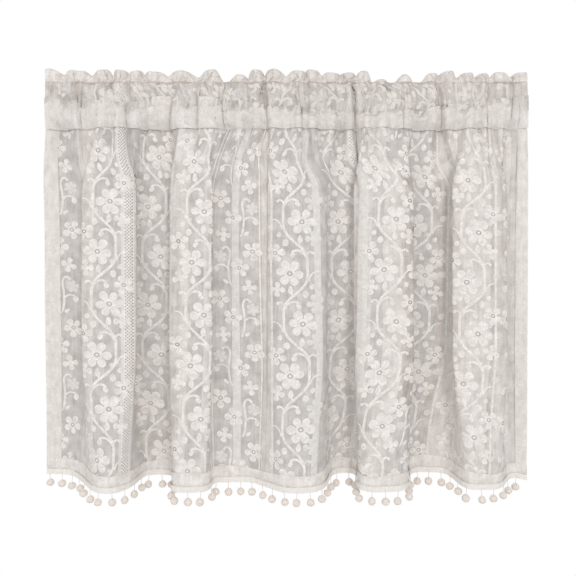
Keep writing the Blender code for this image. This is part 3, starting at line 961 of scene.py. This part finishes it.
# Warp-knitted polyester net: hair-thin wales with open mesh between, drawn as a greyish cover that
# lets an eighth of what lies behind show. Its grey is painted shade: the shade behind the curtain
# seen through the gaps, and the threads' own shade. Its wales read as faint upright streaks. Real
# wales are 1.2 mm apart; drawn at 3.4 mm.
makeCloth("net", "knittedPolyesterNet", "net", "#A8A09B", "#D0CBC7", 0.88)
# Denser net, with a second set of threads laid in: the pale, veiled grounds between the clear ones.
makeCloth("veil", "closeKnittedNet", "net", "#BEB6B0", "#E2DDD8", 0.92)
# The same net where a fold lies close by and keeps the light off it: a warm, dull taupe.
makeCloth("shade", "shadedNet", "net", "#ABA19A", "#D9D1CB", 0.93)
# Open mesh round a flower's eye and in the lattice: a few crossing threads over a hole. Drawn the
# darkest of all: painted shade seen through the hole.
makeCloth("open", "openEyeletMesh", "net", "#98918C", "#ABA5A0", 0.8)
# The pocket's net, crowded by the gathers and with its own back behind it. As in the plain net, its
# grey is painted shade of the threads and of what lies behind them.
makeCloth("gatheredNet", "gatheredNet", "net", "#ABA39D", "#E4DFDB", 0.9)
# Solid jacquard stitch: the same yarn laid in close, which makes the motifs dense, pale and matt.
makeCloth("solid", "solidJacquardStitch", "solid", "#D1C9C3", "#F6F2EF", 0.985)
# Half-tone stitch: every other loop laid in, so stripes and shadow flowers stay a little see-through.
makeCloth("half", "halfToneStitch", "solid", "#CCC6C1", "#E5E1DD", 0.92)
# The heading's motifs, crumpled by the gathers, so their tone is more even.
makeCloth("gatheredSolid", "gatheredJacquardStitch", "solid", "#DAD3CD", "#EFEAE5", 0.9)
# Lace turned over on itself, as in the side hems: pale, with soft mottling from the two layers.
makeCloth("doubled", "doubledLaceCloth", "doubled", "#DCD5CF", "#F2EEEA", 0.88)
# The foot hem, turned over twice: its layers close the net almost fully.
makeCloth("foot", "stitchedHemCloth", "doubled", "#D9D1CB", "#F6F2EE", 0.93)
# Net with the foot hem or the turned-up cloth behind it, pale and close.
makeCloth("lined", "hemBackedNet", "doubled", "#DCD5CF", "#F2EEEA", 0.92)
# Net with a side hem behind it, which lies flatter and paler.
makeCloth("hemmed", "foldedHemNet", "doubled", "#E0DAD5", "#F5F2EF", 0.92)
# The cloth turned up inside the pocket: one more layer, pale and close.
makeCloth("turned", "turnedInLace", "doubled", "#DED7D2", "#F9F5F2", 0.8)
# The ruffle: doubled lace crushed into small pleats. Its wide spread from dull to bright is painted
# shade in the hollows and painted light on the edges, laid as random mottling.
makeCloth("ruffle", "doubledRuffleLace", "ruffle", "#D2C8C1", "#FAF6F3", 0.88)
# Where the gathering cord pinches the layers together they lie in their own shade.
makeCloth("pinch", "pinchedLace", "ruffle", "#ACA098", "#D6CCC5", 0.96)
# Brushed cotton yarn, clipped into balls: warm off-white, mottled darker as painted shade in the gaps
# between the ends.
makeYarn("yarn", "clippedCottonYarn", "#DACDC3", "#F7F0E9", 1.5, 0.6)
# Woven cotton tape: the same yarn, flatter and a little greyer.
makeYarn("tape", "wovenCottonTape", "#DDD6CF", "#F6F2EE", 1.1, 0.3)
# Spun sewing thread, smoother and duller than the balls it holds.
makeYarn("thread", "spunSewingThread", "#D5CDC5", "#ECE6E0", 0.8, 0.1)
# The gathering cord under the ruffle: the same thread, darker with painted shade where it sinks in its
# pinch.
makeYarn("cord", "shadedGatheringCord", "#B4AAA3", "#CEC5BE", 0.8, 0.1)


def addObject(name, data):
    thing = bpy.data.objects.new(name, data)
    bpy.context.scene.collection.objects.link(thing)
    return thing


def addMesh(name, points, faces, slots, faceSlots=None, flat=None):
    mesh = bpy.data.meshes.new(name)
    mesh.from_pydata([tuple(p) for p in points * mm], [], faces)
    for slot in slots:
        mesh.materials.append(materials[slot])
    if faceSlots is not None:
        mesh.polygons.foreach_set("material_index", faceSlots)
    mesh.polygons.foreach_set("use_smooth", [True] * len(mesh.polygons))
    if flat is not None:
        corners = np.empty(len(mesh.loops), np.int32)
        mesh.loops.foreach_get("vertex_index", corners)
        layer = mesh.uv_layers.new(name="flatCloth")
        layer.data.foreach_set("uv", flat[corners].astype(np.float32).ravel())
    mesh.update()
    return addObject(name, mesh)


def clothColumns(spacing, turning):
    # Columns crowd together where the folds turn: at most spacing mm and turning radians apart.
    middle = panelTable[len(panelLevels) // 2]
    bearing = np.unwrap(np.arctan2(np.diff(middle[:, 1]), np.diff(middle[:, 0])))
    turn = np.abs(np.gradient(bearing)) / (flatColumns[1] - flatColumns[0])
    turn = np.convolve(turn, np.ones(15) / 15, mode="same")
    density = 1 / spacing + turn / turning
    run = np.concatenate([[0.0], np.cumsum(density) * (flatColumns[1] - flatColumns[0])])
    count = int(run[-1]) + 1
    return np.interp(np.linspace(0, run[-1], count + 1), run, flatColumns)


def cutCloth(columns, rows, borders):
    # One flat sheet cut along every outline of the design. Returns its points, its triangles and
    # the kind of lace in each triangle. borders: levels where the cloth folds or ends.
    low, high = rows[0], rows[-1]
    points = []
    faces = []
    kinds = []
    for kind, outline in drawn:
        place = np.stack([outline[:, 0], outline[:, 1] + rowSlope(outline[:, 0])], 1)
        if place[:, 1].max() < low or place[:, 1].min() > high:
            continue
        if place[:, 0].max() < 0 or place[:, 0].min() > flatWidth:
            continue
        if place[:, 0].min() < 0 or place[:, 0].max() > flatWidth:
            place[:, 0] = np.clip(place[:, 0], -3.0, flatWidth + 3.0)
        start = len(points)
        points.extend(place.tolist())
        faces.append(list(range(start, len(points))))
        kinds.append(kind)
    edges = []
    for level in borders:
        start = len(points)
        points.extend([[column, level] for column in columns])
        edges += [(start + i, start + i + 1) for i in range(len(columns) - 1)]
    for side in (0.0, flatWidth):
        start = len(points)
        points.extend([[side, row] for row in rows])
        edges += [(start + i, start + i + 1) for i in range(len(rows) - 1)]
    for row in rows[1:-1]:
        points.extend([[column, row] for column in columns[1:-1]])
    corners = [Vector(p) for p in points]
    corners, _, cells, _, _, origins = delaunay_2d_cdt(corners, edges, faces, 0, 1e-3)
    flat = np.array([tuple(c) for c in corners])
    cells = np.array(cells)
    middle = flat[cells].mean(axis=1)
    inside = (middle[:, 0] > 0) & (middle[:, 0] < flatWidth)
    inside = inside & (middle[:, 1] > low) & (middle[:, 1] < high)
    kind = np.array([kinds[max(origin)] if origin else "net" for origin in origins])
    cells = cells[inside]
    used, cells = np.unique(cells, return_inverse=True)
    return flat[used], cells.reshape(-1, 3), kind[inside]


slotOrder = [
    "net", "veil", "shade", "half", "solid", "open", "lined", "hemmed",
    "gatheredNet", "gatheredSolid", "ruffle", "pinch", "turned",
]


def addLace(name, columns, rows, borders, place, relabel=None):
    flat, cells, kind = cutCloth(columns, rows, borders)
    if relabel is not None:
        kind = relabel(flat[cells].mean(axis=1), kind)
    points = place(flat[:, 0], flat[:, 1])
    # The side towards the room is the outer one.
    a, b, c = (points[cells[:, i]] for i in range(3))
    if np.cross(b - a, c - a)[:, 1].sum() > 0:
        cells = cells[:, ::-1]
    index = np.array([slotOrder.index(k) for k in kind])
    return addMesh(name, points, cells.tolist(), slotOrder, index, flat)


def gridCloth(name, columns, rows, place, slot):
    across, level = np.meshgrid(columns, rows)
    flat = np.stack([across.ravel(), level.ravel()], 1)
    points = place(flat[:, 0], flat[:, 1])
    wide = len(columns)
    faces = []
    for row in range(len(rows) - 1):
        for column in range(wide - 1):
            a = row * wide + column
            faces.append((a, a + 1, a + 1 + wide, a + wide))
    return addMesh(name, points, faces, [slot], None, flat)


# The hanging panel.
columns = clothColumns(4.6, 0.20)
panelRows = np.concatenate([
    np.linspace(curtain["hemLevel"], curtain["hemLevel"] + 24.0, 7),
    np.linspace(curtain["hemLevel"] + 24.0, -150.0, 44)[1:],
    np.linspace(-150.0, curtain["panelTop"], 14)[1:],
])


def hemKinds(middle, kind):  # the open eyes close up where the hems lie double
    atSide = (middle[:, 0] < curtain["leftHem"]) | (middle[:, 0] > flatWidth - curtain["rightHem"])
    atFoot = middle[:, 1] < curtain["hemLevel"] + footTop(middle[:, 0])
    kind = np.where((kind == "open") & atSide, "hemmed", kind)
    return np.where((kind == "open") & atFoot, "lined", kind)


panel = addLace("lacePanel", columns, panelRows, (panelRows[0], panelRows[-1]), panelPlace, hemKinds)
print("panel:", len(panel.data.polygons), "faces,", len(columns), "columns")

# The heading.
seam = -curtain["panelTop"]
headingRows = np.concatenate([
    np.linspace(-seam, -24.0, 22),
    np.linspace(-24.0, 0.0, 20)[1:],
    np.linspace(0.0, 24.0, 12)[1:],
    np.linspace(24.0, seam, 16)[1:],
])
headingColumns = np.linspace(0.0, flatWidth, 620)


def headingKinds(middle, kind):  # the ruffle is doubled and turned in, so its net is dense
    below = -curtain["stitchLevel"] - np.abs(middle[:, 1])
    uneven = 1.0 * np.sin(middle[:, 0] / 5.3) + 1.5 * np.sin(middle[:, 0] / 27.0 + 1.0)
    kind = np.where(kind == "solid", "gatheredSolid", kind)
    kind = np.where((kind == "net") | (kind == "open"), "gatheredNet", kind)
    kind = np.where((below > 0) & (kind != "gatheredSolid") & (kind != "pinch"), "ruffle", kind)
    # A narrow band along the gathering stitches takes the pinch look: painted shade where the cord
    # pinches the layers.
    return np.where((below < 0.5) & (below > -1.6 + uneven), "pinch", kind)


headingLines = (-seam, curtain["stitchLevel"], 0.0, seam)
headingCloth = addLace(
    "headingLace", headingColumns, headingRows, headingLines, headingPlace, headingKinds
)
print("heading:", len(headingCloth.data.polygons), "faces")

# Cloth turned up inside the pocket, with an uneven raw edge.
allowanceRows = -seam - np.linspace(turnedIn["rows"], 0.3, 14)


def allowancePlace(across, level):
    share = (-seam - level) / turnedIn["rows"]
    level = -seam + turnedIn["start"] + share * allowanceTop(across)
    return headingPlace(across, level, turnedIn["behind"])


def turnedKinds(middle, kind):
    # Close and pale low down, thinner to a veil and then to plain net near its raw edge.
    share = (-seam - middle[:, 1]) / turnedIn["rows"]
    edge = 0.70 + 0.08 * np.sin(middle[:, 0] / 7.0) + 0.10 * np.sin(middle[:, 0] / 19.0 + 2.0)
    ground = np.where(share > edge, "veil", "turned")
    ground = np.where(share > edge + 0.13, "gatheredNet", ground)
    return np.where(kind == "solid", "gatheredSolid", ground)


allowanceColumns = np.linspace(0.0, flatWidth, 400)
allowanceEnds = (allowanceRows[0], allowanceRows[-1])
allowance = addLace(
    "pocketAllowance", allowanceColumns, allowanceRows, allowanceEnds, allowancePlace, turnedKinds
)
print("turned-in cloth:", len(allowance.data.polygons), "faces")

# Hems: the cloth's own edge turned behind it.
hems = {"behind": -1.0}  # distance behind the panel's cloth, mm


def hemPlace(across, level):
    return panelPlace(across, level, hems["behind"])


def footPlace(across, level):
    share = (level - curtain["hemLevel"]) / curtain["bottomHem"]
    return hemPlace(across, curtain["hemLevel"] + share * footTop(across))


sideRows = np.linspace(curtain["hemLevel"] + 0.3, curtain["panelTop"] - 0.3, 110)
leftHem = gridCloth("leftHem", np.linspace(0.3, curtain["leftHem"], 8), sideRows, hemPlace, "doubled")
rightColumns = np.linspace(flatWidth - curtain["rightHem"], flatWidth - 0.3, 8)
rightHem = gridCloth("rightHem", rightColumns, sideRows, hemPlace, "doubled")
footRows = np.linspace(curtain["hemLevel"] + 0.3, curtain["hemLevel"] + curtain["bottomHem"], 7)
footHem = gridCloth("footHem", columns, footRows, footPlace, "foot")
print("hems turned")

# Seam stitches and the gathering cord.
stitching = {
    "length": 2.6,
    "gap": 1.0,
    "thick": 0.32,
    "cordThick": 0.8,
    "raised": 0.15,  # over the cloth, mm
    "inset": 2.0,  # from a hem's inner edge
}


def addStitches(name, runs, slot, thick):
    # runs: place function, start and end as (along, level), and how far the stitches stand proud.
    points = []
    faces = []
    pitch = stitching["length"] + stitching["gap"]
    for place, start, end, lift in runs:
        start = np.array(start, float)
        end = np.array(end, float)
        count = int(np.linalg.norm(end - start) / pitch)
        for number in range(count):
            a = start + (end - start) * (number + 0.1) / count
            b = start + (end - start) * (number + 0.1 + stitching["length"] / pitch) / count
            ends = np.stack([a, (a + b) / 2, b])
            low = place(ends[:, 0], ends[:, 1], lift)
            low[1] = place(ends[1:2, 0], ends[1:2, 1], lift * 1.6)[0]
            acrossRun = abs(end[0] - start[0]) > abs(end[1] - start[1])
            side = np.array([0.0, 0.0, thick]) if acrossRun else np.array([thick, 0.0, 0.0])
            first = len(points)
            depth = np.array([0.0, -thick * 0.5, 0.0])
            for p in low:
                points += [p + side / 2, p + depth, p - side / 2]
            for k in range(2):
                for j in range(3):
                    c = first + k * 3
                    faces.append((c + j, c + (j + 1) % 3, c + 3 + (j + 1) % 3, c + 3 + j))
            faces.append((first, first + 2, first + 1))
            faces.append((first + 6, first + 7, first + 8))
    return addMesh(name, np.array(points), faces, [slot])


hemTop = curtain["hemLevel"] + curtain["bottomHem"] - stitching["inset"]
leftLine = curtain["leftHem"] - stitching["inset"]
rightLine = flatWidth - curtain["rightHem"] + stitching["inset"]
raised = stitching["raised"]
seamRuns = [
    (headingPlace, (1.0, -seam + 2.5), (flatWidth - 1.0, -seam + 2.5), raised),
    (panelPlace, (1.0, hemTop), (flatWidth - 1.0, hemTop), raised),
    (panelPlace, (leftLine, curtain["hemLevel"]), (leftLine, curtain["panelTop"]), raised),
    (panelPlace, (rightLine, curtain["hemLevel"]), (rightLine, curtain["panelTop"]), raised),
]
stitches = addStitches("seamStitches", seamRuns, "thread", stitching["thick"])
cordLine = curtain["stitchLevel"]
cordRuns = [(headingPlace, (1.0, cordLine), (flatWidth - 1.0, cordLine), raised)]
cord = addStitches("gatheringCord", cordRuns, "cord", stitching["cordThick"])
print("stitches:", len(stitches.data.polygons), "faces")

# The ball fringe.
fringe = {
    "tapeTop": 8.5,  # levels are over the panel's foot, mm
    "tapeFoot": 0.2,
    "tapePicot": 0.35,  # height of the small waves along the tape's edges
    "behind": -2.2,
    "pitch": 18.6,
    "first": 5.0,
    "threadRadius": 0.42,
    "ballTop": -7.6,
    "ballFoot": -18.8,
    "ballRadius": 5.9,
    "swing": 1.3,
    "tufts": 46,
    "tuftHeight": 0.10,  # part of the ball's radius
    "fibres": 150,
}
tapeRows = curtain["hemLevel"] + np.linspace(fringe["tapeFoot"], fringe["tapeTop"], 6)


def tapePlace(across, level):
    foot = panelPlace(across, np.full_like(across, curtain["hemLevel"]), fringe["behind"])
    foot[:, 2] += level - curtain["hemLevel"]
    fromMiddle = level - tapeRows.mean()
    wave = fringe["tapePicot"] * np.sin(across * 2 * np.pi / 2.6)
    foot[:, 2] += np.where(np.abs(fromMiddle) > 3.9, wave, 0.0) * np.sign(fromMiddle)
    return foot


tape = gridCloth("fringeTape", np.linspace(0.3, flatWidth - 0.3, 1100), tapeRows, tapePlace, "tape")

ballAlong = np.arange(fringe["first"], flatWidth - 2.0, fringe["pitch"])
ballFeet = panelPlace(ballAlong, np.full_like(ballAlong, curtain["hemLevel"]), fringe["behind"])
numbers = np.arange(len(ballAlong))
ballSwing = np.stack([np.sin(2.7 * numbers + 0.4), np.cos(4.3 * numbers)], 1) * fringe["swing"]
ballLonger = 0.8 * np.sin(1.9 * numbers + 1.0)


def addThreads():
    points = []
    faces = []
    sides = 6
    turn = np.arange(sides) / sides * 2 * np.pi
    for foot, swing, longer in zip(ballFeet, ballSwing, ballLonger):
        levels = np.linspace(3.0, fringe["ballTop"] - 1.5 + longer, 7)
        first = len(points)
        for number, level in enumerate(levels):
            share = number / (len(levels) - 1)
            for angle in turn:
                twist = fringe["threadRadius"] * (1.0 + 0.15 * math.sin(3 * angle + 5 * number))
                points.append((
                    foot[0] + swing[0] * share**1.5 + twist * math.cos(angle),
                    foot[1] + swing[1] * share**1.5 + twist * math.sin(angle),
                    foot[2] + level,
                ))
        for row in range(len(levels) - 1):
            for side in range(sides):
                a = first + row * sides + side
                b = first + row * sides + (side + 1) % sides
                faces.append((a, a + sides, b + sides, b))
    return addMesh("fringeThreads", np.array(points), faces, ["thread"])


threads = addThreads()


def roundBall(divisions):
    shape = bpy.data.meshes.new("ballShape")
    ball = bmesh.new()
    bmesh.ops.create_icosphere(ball, subdivisions=divisions, radius=1.0)
    ball.to_mesh(shape)
    ball.free()
    points = np.array([v.co[:] for v in shape.vertices])
    faces = np.array([p.vertices[:] for p in shape.polygons])
    bpy.data.meshes.remove(shape)
    return points, faces


def addBalls():
    unit, unitFaces = roundBall(4)
    middle = (fringe["ballTop"] + fringe["ballFoot"]) / 2
    points = []
    faces = []
    for foot, swing, longer in zip(ballFeet, ballSwing, ballLonger):
        tufts = hand.normal(size=(fringe["tufts"], 3))
        tufts /= np.linalg.norm(tufts, axis=1, keepdims=True)
        near = (unit @ tufts.T).max(axis=1)
        lump = np.exp(-((np.arccos(np.clip(near, -1, 1)) / 0.24) ** 2))
        radius = fringe["ballRadius"] * hand.uniform(0.93, 1.06)
        height = (fringe["ballTop"] - fringe["ballFoot"]) / 2 * hand.uniform(0.95, 1.04)
        body = unit * (1.0 - 0.075 + fringe["tuftHeight"] * lump)[:, None]
        squeeze = radius * (1.0 - 0.10 * np.clip(body[:, 2], 0, 1))  # narrower towards the thread
        centre = np.array([foot[0] + swing[0], foot[1] + swing[1], foot[2] + longer + middle])
        shaped = np.stack([body[:, 0] * squeeze, body[:, 1] * squeeze, body[:, 2] * height], 1)
        start = len(points)
        points.extend((shaped + centre).tolist())
        faces.extend((unitFaces + start).tolist())
        ways = hand.normal(size=(fringe["fibres"], 3))
        ways /= np.linalg.norm(ways, axis=1, keepdims=True)
        sides = np.cross(ways, hand.normal(size=(fringe["fibres"], 3)))
        sides /= np.linalg.norm(sides, axis=1, keepdims=True)
        for way, side in zip(ways, sides):
            edge = way * (radius, radius, height)
            root = edge * 0.93
            tip = edge * hand.uniform(1.04, 1.13) + side * hand.uniform(-0.6, 0.6)
            first = len(points)
            points.append(root + side * 0.16 + centre)
            points.append(root - side * 0.16 + centre)
            points.append(tip + centre)
            faces.append([first, first + 1, first + 2])
    return addMesh("pompoms", np.array([list(p) for p in points]), faces, ["yarn"])


balls = addBalls()
print("fringe:", len(ballAlong), "balls,", len(balls.data.polygons), "faces")

# Paper, light and view.
studio = {
    "paper": "#FFFFFF",
    "around": 0.665,  # strength of the light from all round
    "floorLevel": -0.95,
    "floorGrey": 0.7,
    "aim": (0.0, 0.0, -0.31),  # the middle of the curtain
    "lamps": [
        # name, place, size in metres, watts
        ("keyLamp", (1.05, -3.5, 0.9), 0.8, 45.0),
        ("fillLamp", (-1.4, -1.9, 0.3), 1.6, 9.0),
        ("backLamp", (-1.0, 2.4, 0.6), 1.2, 26.0),
    ],
}


def lightWorld():
    # White where the camera sees it, and a softer grey light on the curtain.
    world = bpy.data.worlds.new("studioLight")
    bpy.context.scene.world = world
    world.use_nodes = True
    tree = world.node_tree
    path = addNode(tree, "ShaderNodeLightPath")
    shown = addNode(
        tree,
        "ShaderNodeMix",
        {"data_type": "RGBA", 6: [studio["around"]] * 3 + [1.0], 7: toLinear(studio["paper"])},
        {0: path.outputs["Is Camera Ray"]},
    )
    tree.links.new(shown.outputs[2], tree.nodes["Background"].inputs["Color"])


def addFloor():
    # Paper that shows plain white to the camera and lights the curtain as a pale grey.
    size = 9.0
    mesh = bpy.data.meshes.new("paleFloor")
    z = studio["floorLevel"]
    corners = [(-size, -size, z), (size, -size, z), (size, size, z), (-size, size, z)]
    mesh.from_pydata(corners, [], [(0, 1, 2, 3)])
    floor = addObject("paleFloor", mesh)
    material = newMaterial("whitePaper")
    tree = material.node_tree
    surface = tree.nodes["Principled BSDF"]
    surface.inputs["Base Color"].default_value = [studio["floorGrey"]] * 3 + [1.0]
    surface.inputs["Roughness"].default_value = 0.9
    path = addNode(tree, "ShaderNodeLightPath")
    glow = addNode(tree, "ShaderNodeEmission", {"Color": toLinear(studio["paper"])})
    links = {0: path.outputs["Is Camera Ray"], 1: surface.outputs["BSDF"], 2: glow.outputs["Emission"]}
    shown = addNode(tree, "ShaderNodeMixShader", {}, links)
    tree.links.new(shown.outputs["Shader"], tree.nodes["Material Output"].inputs["Surface"])
    mesh.materials.append(material)


def addLamp(name, place, size, watts):
    data = bpy.data.lights.new(name, "AREA")
    data.shape = "SQUARE"
    data.size = size
    data.energy = watts
    lamp = addObject(name, data)
    lamp.location = place
    towards = Vector(studio["aim"]) - Vector(place)
    lamp.rotation_euler = towards.to_track_quat("-Z", "Y").to_euler()


lightWorld()
addFloor()
for lampRow in studio["lamps"]:
    addLamp(*lampRow)

view = {
    "across": 0.0022,  # metres
    "away": 1.0,
    "eye": -0.25,
    "lens": 42.4,
    "shift": -0.084,
}
camera = addObject("camera", bpy.data.cameras.new("camera"))
camera.location = (view["across"], -view["away"], view["eye"])
camera.rotation_euler = (math.radians(90), 0.0, 0.0)
camera.data.lens = view["lens"]
camera.data.sensor_width = 36.0
camera.data.shift_y = view["shift"]
bpy.context.scene.camera = camera
bpy.context.scene.view_settings.view_transform = "Standard"
print("stage set")

# How the pieces belong to the part.
doubled = (headingCloth, allowance, leftHem, rightHem, footHem)
trim = (stitches, cord, tape, threads, balls)
for piece in (panel,) + doubled + trim:
    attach(piece, "root")
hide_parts("panel")
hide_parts("heading")
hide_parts("pompom_fringe")
